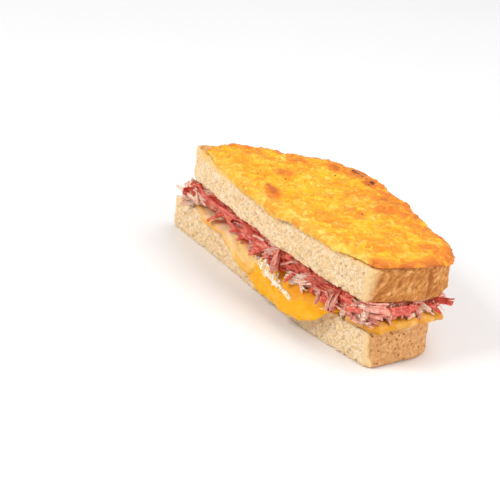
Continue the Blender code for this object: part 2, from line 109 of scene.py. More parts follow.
def read_points(mesh, what):
    flat = np.empty(len(mesh.vertices) * 3)
    mesh.vertices.foreach_get(what, flat)
    return flat.reshape(-1, 3)


def write_points(mesh, points):
    mesh.vertices.foreach_set("co", np.ascontiguousarray(points).ravel())
    mesh.update()


def store(mesh, name, values):
    """Keeps one number for each point, for the material to read."""
    layer = mesh.attributes.new(name, "FLOAT", "POINT")
    layer.data.foreach_set("value", np.asarray(values, dtype=np.float32))


def slice_side(node, cut):
    """The sides of a slice's solid: its cut face, or the crusted ones."""
    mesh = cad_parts[node].data
    faces = [
        tuple(face.vertices) for face in mesh.polygons
        if abs(face.normal.z) < 0.6 and (face.normal.y < -0.9) == cut
    ]
    return BVHTree.FromPolygons([vert.co for vert in mesh.vertices], faces)


def pores(place, size, share, seed):
    """Nought to one: how deep in a pore this place is. Only a share of the cells has one."""
    distances, centres = noise.voronoi(place / size + Vector((seed, seed, seed)))
    chance = noise.cell(centres[0] * 7.3)
    return ease(0.42, 0.12, distances[0]) if abs(chance) < share else 0.0


def wrinkled(place):
    """Fine upright wrinkles that lean to one side, as on a crust that dried as it baked."""
    lean = place - Vector((0.6, 0.6, 0.0)) * place.z
    bent = lean + 0.8 * noise.noise_vector(place / 4.0)
    coarse = noise.noise(Vector((bent.x / 1.6, bent.y / 1.6, place.z / 6.0)))
    return coarse + 0.7 * noise.noise(Vector((bent.x / 0.9, bent.y / 0.9, place.z / 3.5 + 9.0)))


def work_bread(piece, node, wrinkles, flat_face, pale_band, seed, stained=0.0, crease=None):
    """Presses crumb, pores and crust into the bread, and stores what the finish reads."""
    wall = slice_side(node, False)
    cut = slice_side(node, True)
    mesh = piece.data
    points = read_points(mesh, "co")
    facings = read_points(mesh, "normal")
    heights = np.zeros(len(points))
    crusts = np.zeros(len(points))
    pits = np.zeros(len(points))
    toasts = np.zeros(len(points))
    bakes = np.zeros(len(points))
    folds = np.zeros(len(points))
    stains = np.zeros(len(points))
    top = points[:, 2].max() / MM
    for index, (point, facing) in enumerate(zip(points, facings)):
        co = Vector(point)
        place = co / MM
        broad = noise.noise(place / 3.1 + Vector((seed, 0.0, 0.0)))
        fine = noise.noise(place / 1.15 + Vector((0.0, seed, 0.0)))
        wall_gap = wall.find_nearest(co)[3] / MM
        crust = 1.0 - ease(0.5, 2.0, wall_gap + 0.7 * broad + 0.3 * fine)
        big = pores(place, 2.2, 0.5, seed)
        small = pores(place, 1.2, 0.6, seed + 3.0)
        wave = noise.noise(place / 8.0 + Vector((0.0, 0.0, seed)))
        crumb_lift = 0.45 * wave + 0.34 * broad + 0.34 * fine - 0.8 * big - 0.45 * small
        folds[index] = wrinkled(place)
        crust_lift = 0.15 * broad + 0.1 * fine - 0.25 * small + wrinkles * folds[index]
        # A deep crease, which the finish also darkens as painted shade.
        if crease:
            off = math.hypot(place.x - crease[0], place.y - crease[1])
            creased = math.exp(-(off / 0.9) ** 2)
            crust_lift -= 0.8 * creased
            folds[index] -= creased
        heights[index] = crumb_lift + (crust_lift - crumb_lift) * crust
        cut_gap = cut.find_nearest(co)[3] / MM + 0.8 * broad
        bakes[index] = ease(0.3, 1.0 + (pale_band - 1.0) * ease(0.0, 40.0, place.x), cut_gap)
        crusts[index] = crust
        # How deep in a pore, for the finish's painted shade.
        pits[index] = max(0.8 * big, small)
        stains[index] = stained * ease(4.2, 0.8, top - place.z + 1.6 * wave + 1.2 * broad)
        toasts[index] = ease(0.35, 0.9, facing[2] * flat_face) * ease(-1.5, 2.5, cut_gap)
    points = points + facings * (heights * MM)[:, None]
    points[:, 2] = np.maximum(points[:, 2], 0.0)
    write_points(mesh, points)
    store(mesh, "crust", crusts)
    store(mesh, "pit", pits)
    store(mesh, "toast", toasts)
    store(mesh, "bake", bakes)
    store(mesh, "fold", folds)
    store(mesh, "stain", stains)


class Finish:
    """A node material, written as it is wired: each call adds one node."""

    def __init__(self, name, roughness, **sockets):
        self.material = bpy.data.materials.new(name)
        self.material.use_nodes = True
        self.tree = self.material.node_tree
        self.shader = self.tree.nodes["Principled BSDF"]
        self.shader.inputs["Roughness"].default_value = roughness
        for socket, value in sockets.items():
            self.shader.inputs[socket.replace("_", " ")].default_value = value
        self.where = self.add("TexCoord").outputs["Object"]

    def put(self, socket, value):
        if isinstance(value, bpy.types.NodeSocket):
            self.tree.links.new(value, socket)
        elif isinstance(value, tuple) and len(value) == 3 and socket.type == "RGBA":
            socket.default_value = (*value, 1.0)
        else:
            socket.default_value = value

    def add(self, kind, inputs=None, **settings):
        node = self.tree.nodes.new("ShaderNode" + kind)
        for key, value in settings.items():
            setattr(node, key, value)
        for key, value in (inputs or {}).items():
            self.put(node.inputs[key], value)
        return node

    def speckle(self, size, detail=2.0, roughness=0.5, distortion=0.0, where=None):
        node = self.add("TexNoise", {
            "Vector": where or self.where, "Scale": 1.0 / size, "Detail": detail,
            "Roughness": roughness, "Distortion": distortion,
        })
        return node.outputs["Fac"]

    def cells(self, size):
        node = self.add("TexVoronoi", {"Vector": self.where, "Scale": 1.0 / size})
        return node.outputs["Distance"]

    def stretched(self, stretch, turn=(0.0, 0.0, 0.0), where=None):
        node = self.add("Mapping", {
            "Vector": where or self.where, "Scale": stretch, "Rotation": turn,
        })
        return node.outputs["Vector"]

    def stored(self, name):
        return self.add("Attribute", attribute_name=name).outputs["Fac"]

    def ramp(self, value, low, high, start=0.0, end=1.0):
        node = self.add("MapRange", {0: value, 1: low, 2: high, 3: start, 4: end})
        node.clamp = True
        return node.outputs[0]

    def product(self, first, second):
        node = self.add("Math", {0: first, 1: second}, operation="MULTIPLY")
        return node.outputs[0]

    def mix(self, share, first, second):
        node = self.add("Mix", data_type="RGBA")
        self.put(node.inputs[0], share)
        self.put(node.inputs[6], first)
        self.put(node.inputs[7], second)
        return node.outputs[2]

    def lay(self, under, pattern, low, high, share, over):
        """Lays one colour over another: none where the pattern is low, this share where high."""
        return self.mix(self.ramp(pattern, low, high, 0.0, share), under, over)

    def color(self, value):
        self.put(self.shader.inputs["Base Color"], value)

    def roughen(self, value):
        self.put(self.shader.inputs["Roughness"], value)

    def bump(self, height, depth, strength):
        previous = self.shader.inputs["Normal"].links
        inputs = {"Height": height, "Distance": depth, "Strength": strength}
        if previous:
            inputs["Normal"] = previous[0].from_socket
        self.put(self.shader.inputs["Normal"], self.add("Bump", inputs).outputs["Normal"])


def bread_finish(name, crust_light, crust_dark, painted_pore_shade, furrow, hole_share):
    """Cream crumb with painted grey shade in its small pores, and a golden crust with darker, browner
    places, painted shade in its pores and wrinkle furrows, and painted light on its wrinkle ridges.
    """
    finish = Finish(
        name, 0.75, Subsurface_Weight=0.12, Subsurface_Radius=(1.0, 0.6, 0.3),
        Subsurface_Scale=0.0015, Specular_IOR_Level=0.3,
    )
    pit = finish.stored("pit")
    broad = finish.speckle(5.0 * MM, 3.0)
    fine = finish.speckle(0.8 * MM, 3.0, 0.65)
    crumb = finish.mix(finish.ramp(broad, 0.35, 0.68), (0.9, 0.63, 0.35), (0.96, 0.76, 0.5))
    turned = finish.stretched((1.0, 1.0, 1.0), (0.7, 0.2, 0.9))
    mottle = finish.speckle(1.7 * MM, 3.0, 0.6, where=turned)
    crumb = finish.lay(crumb, mottle, 0.52, 0.64, 0.7, (0.93, 0.64, 0.27))
    crumb = finish.lay(crumb, mottle, 0.46, 0.34, 0.7, (0.98, 0.79, 0.62))
    crumb = finish.lay(crumb, fine, 0.52, 0.36, 0.65, (0.62, 0.38, 0.13))
    crumb = finish.lay(crumb, fine, 0.54, 0.66, 0.65, (0.99, 0.88, 0.68))
    # Painted shade in the crumb's pores.
    crumb = finish.mix(finish.product(pit, 0.5), crumb, (0.44, 0.29, 0.14))
    crumb = finish.mix(finish.stored("stain"), crumb, (0.92, 0.56, 0.1))
    grain = finish.speckle(1.6 * MM, 4.0, 0.65)
    crust = finish.mix(finish.ramp(grain, 0.36, 0.62), crust_dark, crust_light)
    crust = finish.mix(finish.ramp(broad, 0.35, 0.6, 0.45, 0.0), crust, crust_dark)
    fold = finish.stored("fold")
    # Painted shade in the wrinkle furrows and the crease, and painted light on the wrinkle ridges.
    crust = finish.lay(crust, fold, 0.0, -0.55, furrow, painted_pore_shade)
    crust = finish.lay(crust, fold, 0.15, 0.7, furrow, (0.9, 0.54, 0.22))
    crust = finish.lay(crust, fine, 0.5, 0.36, 0.5, crust_dark)
    # Painted shade in the crust's pores, and small pores painted in as spots of shade with no depth of
    # their own.
    crust = finish.mix(finish.product(pit, 0.4), crust, painted_pore_shade)
    holes = finish.ramp(finish.cells(1.9 * MM), 0.3, 0.14, 0.0, hole_share)
    crust = finish.mix(finish.product(holes, finish.ramp(grain, 0.62, 0.5)), crust, painted_pore_shade)
    crust = finish.mix(finish.stored("bake"), (0.9, 0.64, 0.32), crust)
    toasted = finish.mix(finish.ramp(broad, 0.35, 0.65), (0.62, 0.3, 0.09), (0.8, 0.47, 0.18))
    toasted = finish.lay(toasted, fine, 0.5, 0.35, 0.5, (0.42, 0.18, 0.05))
    color = finish.mix(finish.stored("toast"), crumb, toasted)
    color = finish.mix(finish.stored("crust"), color, crust)
    finish.color(color)
    finish.bump(fine, 0.25 * MM, 0.8)
    finish.bump(finish.cells(0.9 * MM), 0.25 * MM, 0.6)
    return finish.material


def dress(piece, material, node):
    piece.data.materials.append(material)
    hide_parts(node)
    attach(piece, "root")


BREAD_VOXEL = 0.46 * MM
lower_bread = remeshed("bread_bottom", "lower_bread", BREAD_VOXEL, 2)
work_bread(lower_bread, "bread_bottom", wrinkles=0.06, flat_face=-1.0, pale_band=1.8, seed=2.0)
lower_finish = bread_finish(
    "lower_bread", crust_light=(0.79, 0.44, 0.19), crust_dark=(0.62, 0.29, 0.1),
    painted_pore_shade=(0.24, 0.07, 0.015), furrow=0.15, hole_share=1.0,
)
dress(lower_bread, lower_finish, "bread_bottom")

# Upper slice of bread.
# The other half slice of the same loaf. Its crust dried into leaning wrinkles, with one deep
# crease near the corner of its base.

upper_bread = remeshed("bread_top", "upper_bread", BREAD_VOXEL, 2)
crease = spot(122.0, 24.3) / MM
work_bread(
    upper_bread, "bread_top", wrinkles=0.36, flat_face=1.0, pale_band=5.0, seed=7.0,
    stained=0.8, crease=(crease.x, crease.y),
)
upper_finish = bread_finish(
    "upper_bread", crust_light=(0.74, 0.34, 0.09), crust_dark=(0.54, 0.2, 0.04),
    painted_pore_shade=(0.34, 0.09, 0.015), furrow=0.75, hole_share=0.5,
)
dress(upper_bread, upper_finish, "bread_top")

# Melted cheese slices.
# Three processed cheese slices that melted side by side on the lower slice: a pale one, a
# thick yellow one that runs down over the cut, and an amber one over the base.


def soften(piece, wave, size, seed):
    """Gives melted cheese its slow, shallow swells."""
    mesh = piece.data
    points = read_points(mesh, "co")
    facings = read_points(mesh, "normal")
    lift = [
        wave * noise.noise(Vector(point) / MM / size + Vector((seed, seed, 0.0))) for point in points
    ]
    write_points(mesh, points + facings * (np.array(lift) * MM)[:, None])


def cheese_finish(name, top, lip, rim, painted_sheen, roughness):
    """Glossy melted cheese that light gets into: its top, hanging lip and edge, with a painted sheen on
    its swells and a painted cream highlight where one is stored.
    """
    finish = Finish(
        name, roughness, Subsurface_Weight=0.3, Subsurface_Radius=(1.0, 0.4, 0.08),
        Subsurface_Scale=0.002, Specular_IOR_Level=0.16,
    )
    swell = finish.speckle(5.0 * MM, 3.0, distortion=0.6)
    fine = finish.speckle(1.1 * MM, 3.0)
    color = finish.mix(finish.stored("lip"), top, lip)
    # A painted sheen on the swells and on fine spots.
    color = finish.lay(color, swell, 0.48, 0.68, 0.7, painted_sheen)
    color = finish.lay(color, fine, 0.6, 0.72, 0.35, painted_sheen)
    # A painted cream highlight where it is stored.
    color = finish.mix(finish.stored("cream_painted_highlight"), color, (0.99, 0.86, 0.64))
    color = finish.mix(finish.stored("rim"), color, rim)
    finish.color(color)
    finish.bump(fine, 0.15 * MM, 0.35)
    finish.bump(swell, 0.8 * MM, 0.5)
    return finish.material


def height_over_edge(places, on_cut):
    """How far each point lies above the cheese's hanging edge in its own short stretch of cut."""
    stretches = np.floor(places[:, 0] / 1.5).astype(int)
    edges = {}
    for stretch in set(stretches[on_cut]):
        edges[stretch] = places[on_cut & (stretches == stretch), 2].min()
    return np.array([place[2] - edges.get(stretch, 0.0) for place, stretch in zip(places, stretches)])


def band(values, start, end):
    """Nought where a value is at its start and one at its end, and even between them."""
    return np.clip((values - start) / (end - start), 0.0, 1.0)


CHEESE_VOXEL = 0.42 * MM
# The pale slice's lobes, in millimetres: where the first starts, and how wide and deep each is.
LOBE_START = 5.0
LOBE_WIDTH = 23.0
LOBE_DEPTH = 1.3
# Node, colours of the top, lip, rim and painted sheen, roughness, height of the swells in mm, seed.
CHEESES = (
    (
        "cheese_slice_pale",
        (0.93, 0.6, 0.22), (0.9, 0.47, 0.08), (0.84, 0.37, 0.02), (0.96, 0.68, 0.3), 0.16, 0.4, 3.0,
    ),
    (
        "cheese_slice_thick",
        (0.86, 0.36, 0.03), (0.93, 0.42, 0.0), (0.95, 0.47, 0.0), (0.95, 0.52, 0.03), 0.12, 0.4, 5.0,
    ),
    (
        "cheese_slice_base",
        (0.7, 0.32, 0.03), (0.64, 0.28, 0.02), (0.55, 0.2, 0.015), (0.86, 0.52, 0.16), 0.16, 0.35, 8.0,
    ),
)
for node, top, lip, rim, painted_sheen, roughness, wave, seed in CHEESES:
    cheese = remeshed(node, node + "_melt", CHEESE_VOXEL, 8)
    soften(cheese, wave, 4.0, seed)
    facings = read_points(cheese.data, "normal")
    places = (read_points(cheese.data, "co") - np.array(TIP)) / MM
    overhang = band(facings[:, 2], 0.8, 0.1)
    store(cheese.data, "lip", overhang * overhang * (3.0 - 2.0 * overhang))
    on_cut = places[:, 1] < 1.0
    above_edge = height_over_edge(places, on_cut)
    store(cheese.data, "rim", on_cut * np.exp(-(above_edge / 1.3) ** 2))
    if node == "cheese_slice_pale":
        # A painted cream highlight over the upper part of the lobes near the tip.
        near_tip = band(places[:, 0], 42.0, 26.0) * band(places[:, 1], 5.0, 2.0)
        store(cheese.data, "cream_painted_highlight", 0.75 * near_tip * band(above_edge, 0.8, 2.8))
        # Lobes that sag over the cut, with a fold between them.
        sag = np.abs(np.sin(math.pi * (places[:, 0] - LOBE_START) / LOBE_WIDTH)) ** 0.7 - 0.4
        sag *= band(places[:, 1], 0.5, -2.5) * (0.5 + band(above_edge, 0.0, 4.0))
        sagged = read_points(cheese.data, "co") + facings * (sag * LOBE_DEPTH * MM)[:, None]
        write_points(cheese.data, sagged)
    else:
        store(cheese.data, "cream_painted_highlight", np.zeros(len(places)))
    dress(cheese, cheese_finish(node + "_melt", top, lip, rim, painted_sheen, roughness), node)


def joined(lumps, name):
    """One piece made of several, with its place in its mesh."""
    bpy.ops.object.select_all(action="DESELECT")
    for lump in lumps:
        lump.select_set(True)
    bpy.context.view_layer.objects.active = lumps[0]
    bpy.ops.object.join()
    bpy.ops.object.transform_apply(location=True, rotation=True, scale=True)
    lumps[0].name = name
    return lumps[0]


def run_together(name, beads, squash, voxel):
    """Beads of melted cheese that flow into one another: the place and radius of each."""
    lumps = []
    for place, radius in beads:
        bpy.ops.mesh.primitive_uv_sphere_add(
            segments=12, ring_count=8, radius=radius, scale=(1.0, squash, 1.0), location=place,
        )
        lumps.append(bpy.context.object)
    run = joined(lumps, name)
    shape_with(run, "REMESH", mode="VOXEL", voxel_size=voxel, use_smooth_shade=True)
    shape_with(run, "SMOOTH", factor=0.5, iterations=4)
    return run


def edge_walk(corners, share):
    """The place and outward direction at a share of the way along a line of corners."""
    lengths = [(b - a).length for a, b in zip(corners, corners[1:])]
    target = share * sum(lengths)
    for first, second, length in zip(corners, corners[1:], lengths):
        if target <= length:
            break
        target -= length
    along = (second - first).normalized()
    return first.lerp(second, min(1.0, target / length)), Vector((along.y, -along.x, 0.0)).normalized()


def surface_of(meshes):
    """One surface to find places on, made of several meshes."""
    points = []
    faces = []
    for mesh in meshes:
        first = len(points)
        points.extend(vert.co.copy() for vert in mesh.vertices)
        faces.extend(tuple(first + corner for corner in face.vertices) for face in mesh.polygons)
    return BVHTree.FromPolygons(points, faces)


# The front of all that stands or hangs at the cut, for the foam to lie on.
front = surface_of(
    bpy.data.meshes[name] for name in ("cheese_slice_pale_melt", "cheese_slice_thick_melt", "lower_bread")
)
# The foam's ridge, from the domed end's side to the base's.
froth_line = [
    spot(55.0, 0.0, 18.6), spot(59.3, 0.0, 18.0), spot(62.5, 0.0, 17.8), spot(66.0, 0.0, 16.7),
    spot(70.2, 0.0, 15.3), spot(73.9, 0.0, 14.2), spot(78.4, 0.0, 13.8), spot(84.6, 0.0, 13.1),
]
BUBBLES = 230
draw = random.Random(41)
bubbles = []
for number in range(BUBBLES):
    share = draw.random()
    # The foam is widest, and its bubbles largest, a third of the way along.
    swelling = 0.2 + 0.9 * math.exp(-((share - 0.36) / 0.2) ** 2)
    place = edge_walk(froth_line, share)[0]
    place += Vector((0.0, 0.0, draw.gauss(0.0, 1.1) * swelling * MM))
    hit = front.ray_cast(place - Vector((0.0, 20.0, 0.0)) * MM, Vector((0.0, 1.0, 0.0)))[0]
    radius = draw.uniform(0.35, 0.95) * (0.5 + 0.5 * swelling) * MM
    bubbles.append((hit or front.find_nearest(place)[0], radius))
froth = run_together("cheese_froth", bubbles, 0.9, 0.22 * MM)
soften(froth, 0.5, 1.3, 2.0)
soften(froth, 0.25, 0.6, 6.0)
foam = Finish(
    "cheese_froth", 0.3, Subsurface_Weight=0.3, Subsurface_Radius=(1.0, 0.6, 0.3),
    Subsurface_Scale=0.0015, Specular_IOR_Level=0.4,
)
foam_speckle = foam.speckle(1.0 * MM, 3.0)
foam.color(foam.mix(foam.ramp(foam_speckle, 0.42, 0.54), (0.95, 0.6, 0.2), (0.99, 0.92, 0.82)))
foam.bump(foam_speckle, 0.3 * MM, 0.7)
froth.data.materials.append(foam.material)
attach(froth, "root")

run_path = [
    spot(38.0, -5.0, 12.6), spot(46.0, -5.6, 10.4), spot(53.0, -5.4, 8.2), spot(59.0, -5.4, 6.4),
    spot(66.0, -5.4, 5.2), spot(74.0, -6.6, 5.2),
]
BEADS = 330
beads = []
for number in range(BEADS):
    share = number / (BEADS - 1)
    # The run is highest where it fills the fold between the two slices.
    fill = math.exp(-((share - 0.6) / 0.17) ** 2)
    radius = (1.1 + 0.7 * math.sin(math.pi * share)) * draw.uniform(0.9, 1.1) * MM
    place, outward = edge_walk(run_path, share)
    place += outward * (1.5 * fill - 0.2) * MM
    place += Vector((0.0, 0.0, 8.5 * fill * draw.random() * MM))
    beads.append((place, radius))
run = run_together("cheese_run", beads, 0.7, 0.35 * MM)
store(run.data, "lip", np.ones(len(run.data.vertices)))
for absent in ("cream_painted_highlight", "rim"):
    store(run.data, absent, np.zeros(len(run.data.vertices)))
run.data.materials.append(bpy.data.materials["cheese_slice_thick_melt"])
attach(run, "root")

# Shredded ham.
# Cooked ham pulled apart and heaped between the cheese and the upper slice. The heap is the
# solid's own, roughened into fibres. Torn chunks and loose shreds are swept along lines round it.


def ham_finish(name, on_shreds, lean, meat, fat):
    """Moist meat with pale fibres, which run along each shred or along the whole heap."""
    finish = Finish(
        name, 0.38, Subsurface_Weight=0.35, Subsurface_Radius=(1.0, 0.3, 0.2),
        Subsurface_Scale=0.0025, Specular_IOR_Level=0.3, Coat_Weight=0.1, Coat_Roughness=0.1,
    )
    patch = finish.speckle(3.5 * MM, 3.0, 0.6)
    color = finish.mix(finish.ramp(patch, 0.38, 0.6), lean, meat)
    if on_shreds:
        around = finish.add("UVMap", uv_map="UVMap").outputs["UV"]
        grain = finish.stretched((12.0, 1.4, 1.0), where=around)
    else:
        grain = finish.stretched((1.0 / (5.0 * MM), 1.0 / (1.1 * MM), 1.0 / (0.8 * MM)), (0.0, 0.15, 0.0))
    fibre = finish.speckle(1.0, 3.0, where=grain)
    color = finish.lay(color, fibre, 0.5, 0.66, 0.6, fat)
    color = finish.lay(color, fibre, 0.46, 0.34, 0.6, lean)
    finish.color(color)
    finish.bump(fibre, 0.35 * MM, 0.8)
    return finish.material


ham_heap = remeshed("ham", "ham_heap", 0.5 * MM, 3)
heap_points = read_points(ham_heap.data, "co")
heap_facings = read_points(ham_heap.data, "normal")
heap_lift = []
for point in heap_points:
    place = Vector(point) / MM
    bent = place + 1.5 * noise.noise_vector(place / 7.0)
    grain = noise.noise(Vector((bent.x / 5.0, bent.y / 1.1, bent.z / 0.9)))
    heap_lift.append(0.35 * grain - 0.15)
write_points(ham_heap.data, heap_points + heap_facings * (np.array(heap_lift) * MM)[:, None])
heap_finish = ham_finish("ham_heap", False, (0.48, 0.03, 0.022), (0.76, 0.14, 0.09), (0.92, 0.4, 0.28))
dress(ham_heap, heap_finish, "ham")

LAYERS = ("bread_bottom", "bread_top", "cheese_slice_pale", "cheese_slice_thick", "cheese_slice_base")
layers = surface_of(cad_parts[node].data for node in LAYERS)
# The stretch of the melt that has bread above and cheese below, and a height between them.
NEAR_CORNER = spot(1.0, 1.5)
FAR_CORNER = spot(118.0, 34.0)
HAM_LEVEL = 21.6 * MM
# Where ham may lie if nothing is found below or above it, and the least height that it gets.
LOWEST_HAM = 17.0 * MM
HIGHEST_HAM = 25.0 * MM
LEAST_ROOM = 2.0 * MM


def ham_room(place):
    """The lowest and highest that ham can lie here, between the cheese and the bread."""
    inside = Vector((
        min(max(place.x, NEAR_CORNER.x), FAR_CORNER.x),
        min(max(place.y, NEAR_CORNER.y), FAR_CORNER.y), HAM_LEVEL,
    ))
    below = layers.ray_cast(inside, Vector((0.0, 0.0, -1.0)))[0]
    above = layers.ray_cast(inside, Vector((0.0, 0.0, 1.0)))[0]
    low = below.z if below else LOWEST_HAM
    high = above.z if above else HIGHEST_HAM
    return low, max(high, low + LEAST_ROOM)


def keep_clear(points, half):
    """Eases a shred's points off the bread and cheese."""
    for go in range(6):
        for index, point in enumerate(points):
            near, facing = layers.find_nearest(point)[:2]
            away = point - near
            inside = away.dot(facing) < 0.0
            gap = -away.length if inside else away.length
            if gap < half:
                way = facing if inside or gap < 1e-7 else away.normalized()
                points[index] = point + way * min(half - gap, 0.5 * MM)
    return points


def over_pale_cheese(place):
    """Whether this is the stretch of the cut where the pale cheese shows below the ham."""
    return spot(5.0, 0.0).x < place.x < spot(52.0, 0.0).x and place.y < spot(0.0, 2.0).y


def shred_line(draw, start, outward, length, reach, points_count):
    """The points of one shred: it lies in the heap's side, or comes out and droops."""
    along = Vector((-outward.y, outward.x, 0.0)) * draw.choice((-1.0, 1.0))
    low, high = ham_room(start)
    level = draw.uniform(0.55 if over_pale_cheese(start) else 0.02, 0.82)
    start = start + outward * (0.45 - level) * 3.4 * MM
    slope = draw.uniform(-0.6, 0.35)
    curl = draw.uniform(-1.0, 1.0)
    phase = draw.uniform(0.0, 6.28)
    heading = (along + outward * reach).normalized()
    tucked = 1.2 if over_pale_cheese(start) else 0.0
    begin = start - heading * length * 0.5 - outward * (tucked + draw.uniform(0.5, 2.2)) * MM
    if reach > 0.5:
        begin = start - heading * length * 0.45
    points = []
    for step in range(points_count):
        t = step / (points_count - 1)
        place = begin + heading * length * t
        place += outward * (0.9 * MM * math.sin(math.pi * t)) + along * curl * 2.0 * MM * t * t
        out = max(0.0, (place - start).dot(outward))
        height = low + (high - low) * min(1.0, max(0.0, level + slope * (t - 0.5)))
        height += 0.35 * MM * math.sin(phase + 9.0 * t) - 0.09 * out * out / MM
        points.append(Vector((place.x, place.y, height)))
    return points


def pulled_apart(draw, line, half, outward, count):
    """One chunk of meat as its own parallel fibres, which part a little at both ends."""
    tilt = draw.uniform(0.2, 1.3)
    width = outward * math.cos(tilt) - Vector((0.0, 0.0, math.sin(tilt)))
    thickness = outward * math.sin(tilt) + Vector((0.0, 0.0, math.cos(tilt)))
    last = len(line) - 1
    plans = []
    for number in range(count):
        across = 2.0 * (number + draw.random()) / count - 1.0
        layer = draw.uniform(-0.35, 0.35)
        first = draw.choice((0, 0, 1, 2))
        final = last - draw.choice((0, 0, 1, 2))
        fray = draw.uniform(-0.5, 0.5)
        fibre = []
        for step in range(first, final + 1):
            t = step / last
            spread = 1.0 + 0.45 * (2.0 * t - 1.0) ** 2
            place = line[step] + width * half * (across * spread + fray * (t - 0.5) ** 3 * 4.0)
            fibre.append(place + thickness * half * (layer + 0.3 * (1.0 - across * across)))
        plans.append((keep_clear(fibre, 0.25 * MM), half * draw.uniform(0.22, 0.38)))
    return plans


def shade_of(draw, line):
    """Which of the three finishes: deep red as painted shade under the bread, paler as painted light
    lower down, also paler at the tip, and partly at random.
    """
    middle = (line[len(line) // 2] - TIP) / MM
    paleness = (22.8 - middle.z) / 3.6 + 1.3 * ease(32.0, 4.0, middle.x) + draw.gauss(0.35, 0.55)
    return 2 if paleness > 1.25 else (1 if paleness > 0.4 else 0)


def shred_profile(name, ridges, flatness):
    """A bundle of fibres cut across: flat, with a ridge for each fibre."""
    curve = bpy.data.curves.new(name, "CURVE")
    curve.dimensions = "2D"
    spline = curve.splines.new("POLY")
    count = 4 * ridges
    spline.points.add(count - 1)
    spline.use_cyclic_u = True
    for step, knot in enumerate(spline.points):
        angle = 2.0 * math.pi * step / count
        ridge = 1.0 + (0.16 if step % 2 else -0.1)
        knot.co = (math.cos(angle) * (1.0 + 0.04 * ridge), math.sin(angle) * flatness * ridge, 0.0, 1.0)
    profile = bpy.data.objects.new(name, curve)
    bpy.context.collection.objects.link(profile)
    return profile


def shreds(name, draw, plans, ridges, flatness, finishes):
    """Sweeps a fibre bundle along every shred's line and makes one mesh of them."""
    profile = shred_profile(name + "_profile", ridges, flatness)
    curve = bpy.data.curves.new(name, "CURVE")
    curve.dimensions = "3D"
    curve.bevel_mode = "OBJECT"
    curve.bevel_object = profile
    curve.use_fill_caps = True
    curve.twist_mode = "Z_UP"
    for finish in finishes:
        curve.materials.append(finish)
    for points, half_width, shade in plans:
        spline = curve.splines.new("POLY")
        spline.points.add(len(points) - 1)
        spline.material_index = shade
        lean = draw.choice((-1.0, 1.0)) * draw.uniform(0.5, 1.6)
        twist = draw.uniform(-0.9, 0.9)
        last = len(points) - 1
        for step, (knot, point) in enumerate(zip(spline.points, points)):
            t = step / last
            knot.co = (*point, 1.0)
            knot.radius = half_width * (0.36 + 0.64 * math.sin(math.pi * (0.06 + 0.86 * t)) ** 0.6)
            knot.radius *= 1.0 + 0.16 * math.sin(11.0 * t + lean * 5.0)
            knot.tilt = lean + twist * t
    piece = bpy.data.objects.new(name, curve)
    bring_in(piece)
    bpy.ops.object.convert(target="MESH")
    bpy.data.objects.remove(profile)
    merge_corners(0.003 * MM, mend_facings=True)
    bpy.ops.object.shade_smooth()
    points = read_points(piece.data, "co")
    for index, point in enumerate(points):
        place = Vector(point) / MM
        coarse = noise.noise_vector(place / 1.4)
        fine = noise.noise_vector(place / 0.6)
        points[index] += 0.3 * MM * coarse + 0.12 * MM * fine
    write_points(piece.data, points)
    return piece


# The sides of the heap, each a line of corners seen from above.
CUT_SIDE = [spot(-2.0, 1.0), spot(30.0, -1.6), spot(60.0, -3.2), spot(90.0, -2.4), spot(117.5, 0.8)]
BASE_SIDE = [spot(117.5, 0.8), spot(119.5, 16.0), spot(118.0, 30.5)]
BACK_SIDE = [
    spot(118.0, 30.5), spot(100.0, 36.0), spot(60.0, 40.5), spot(34.0, 38.0), spot(9.0, 23.0),
    spot(-2.0, 3.0),
]


def plan_shreds(draw, side, count, length, reach, half_width, points_count):
    """Shreds set out evenly along one side of the heap: line, half width and outward way of each."""
    plans = []
    for number in range(count):
        start, outward = edge_walk(side, (number + draw.random()) / count)
        half = draw.uniform(*half_width) * MM
        most = min(reach[1], max(0.2, reach[0])) if over_pale_cheese(start) else reach[1]
        line = shred_line(
            draw, start, outward, draw.uniform(*length) * MM, draw.uniform(reach[0], most), points_count,
        )
        plans.append((keep_clear(line, half * 0.35 + 0.1 * MM), half, outward))
    return plans


# Each row: the side, how many, their lengths in mm, how far they turn outwards, their half
# widths in mm, and how many points each one's line has.
CHUNKS = (
    (CUT_SIDE, 58, (9.0, 19.0), (-0.05, 0.4), (1.6, 3.0), 11),
    (BASE_SIDE, 15, (7.0, 13.0), (-0.05, 0.4), (1.4, 2.4), 11),
    (CUT_SIDE, 24, (6.0, 9.0), (0.5, 1.3), (1.4, 2.3), 9),
    (BASE_SIDE, 8, (6.0, 9.0), (0.7, 1.6), (1.4, 2.2), 9),
    (BACK_SIDE, 36, (9.0, 17.0), (-0.05, 0.35), (1.5, 2.6), 11),
)
LOOSE = (
    (CUT_SIDE, 44, (7.0, 15.0), (-0.05, 0.7), (0.4, 0.9), 10),
    (BASE_SIDE, 14, (6.0, 11.0), (-0.05, 0.8), (0.4, 0.9), 10),
    (BACK_SIDE, 44, (7.0, 13.0), (-0.05, 0.7), (0.4, 0.9), 10),
    (CUT_SIDE, 26, (5.0, 12.0), (0.0, 1.0), (0.22, 0.4), 9),
    (BASE_SIDE, 9, (4.0, 9.0), (0.0, 1.3), (0.22, 0.4), 9),
    (BACK_SIDE, 14, (5.0, 10.0), (0.0, 1.0), (0.22, 0.4), 9),
)
draw = random.Random(23)
chunks = [plan for row in CHUNKS for plan in plan_shreds(draw, *row)]
